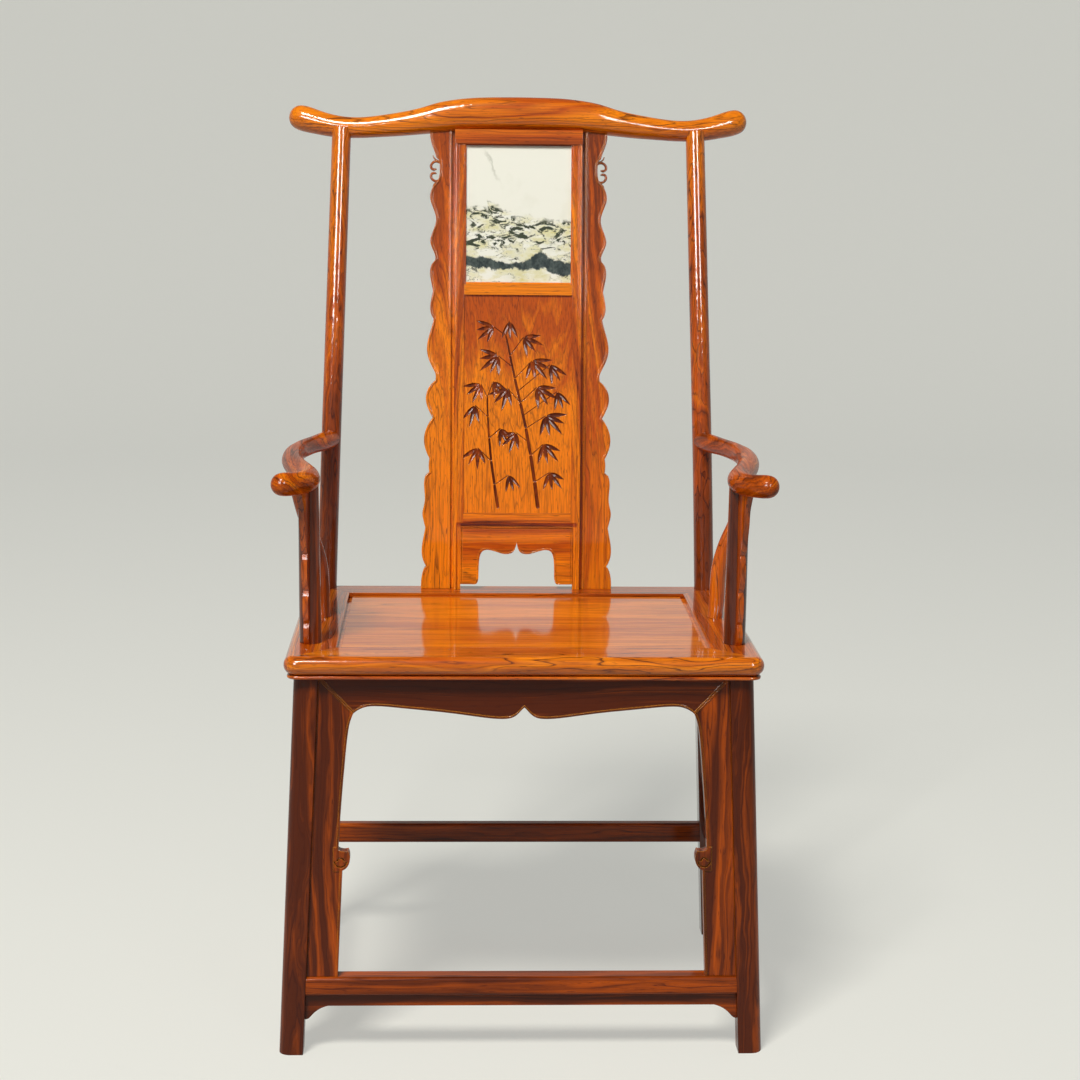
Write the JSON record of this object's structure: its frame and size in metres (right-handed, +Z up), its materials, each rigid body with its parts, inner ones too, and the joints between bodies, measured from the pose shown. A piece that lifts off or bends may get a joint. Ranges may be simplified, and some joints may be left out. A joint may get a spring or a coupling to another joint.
{
  "type": "official hat armchair",
  "caption": "Wooden yoke-back armchair: crest and arm rails run out past their posts, tall scalloped splat with a marble inset, framed seat, footrest and stretchers.",
  "frame": {"origin": "centre of the bounding box at floor level, under the feet", "axes": "+X to the right as seen by someone who faces the front of the chair; +Y from the front of the seat to its back; +Z up"},
  "size_m": [0.6502, 0.5526, 1.2132],
  "materials": {
    "rosewood_frame": "polished rosewood under a high-gloss clear lacquer, grain along each timber",
    "rosewood_panel": "flat-sawn rosewood board under a high-gloss clear lacquer, wild grain",
    "landscape_marble": "polished cream marble with dark grey-green landscape bands"
  },
  "bodies": {
    "root": {"arch_panel": "rosewood_panel", "arm_bracket_left": "rosewood_frame", "arm_bracket_right": "rosewood_frame", "arm_rail_left": "rosewood_frame", "arm_rail_right": "rosewood_frame", "carved_panel": "rosewood_panel", "crest_rail": "rosewood_frame", "footrest": "rosewood_frame", "footrest_apron": "rosewood_frame", "front_apron": "rosewood_frame", "front_arm_post_left": "rosewood_frame", "front_arm_post_right": "rosewood_frame", "front_leg_left": "rosewood_frame", "front_leg_right": "rosewood_frame", "front_strip_left": "rosewood_frame", "front_strip_right": "rosewood_frame", "marble_backing": "rosewood_panel", "marble_panel": "landscape_marble", "rear_apron": "rosewood_frame", "rear_leg_left": "rosewood_frame", "rear_leg_right": "rosewood_frame", "rear_stretcher": "rosewood_frame", "seat_batten_left": "rosewood_frame", "seat_batten_right": "rosewood_frame", "seat_front_rail": "rosewood_frame", "seat_panel": "rosewood_panel", "seat_rail_left": "rosewood_frame", "seat_rail_right": "rosewood_frame", "seat_rear_rail": "rosewood_frame", "side_apron_left": "rosewood_frame", "side_apron_right": "rosewood_frame", "side_arm_post_left": "rosewood_frame", "side_arm_post_right": "rosewood_frame", "side_front_strip_left": "rosewood_frame", "side_front_strip_right": "rosewood_frame", "side_rear_strip_left": "rosewood_frame", "side_rear_strip_right": "rosewood_frame", "side_stretcher_left": "rosewood_frame", "side_stretcher_right": "rosewood_frame", "splat_flange_left": "rosewood_frame", "splat_flange_right": "rosewood_frame", "splat_lower_rail": "rosewood_frame", "splat_middle_rail": "rosewood_frame", "splat_stile_left": "rosewood_frame", "splat_stile_right": "rosewood_frame", "splat_top_rail": "rosewood_frame"}
  },
  "joints": []
}
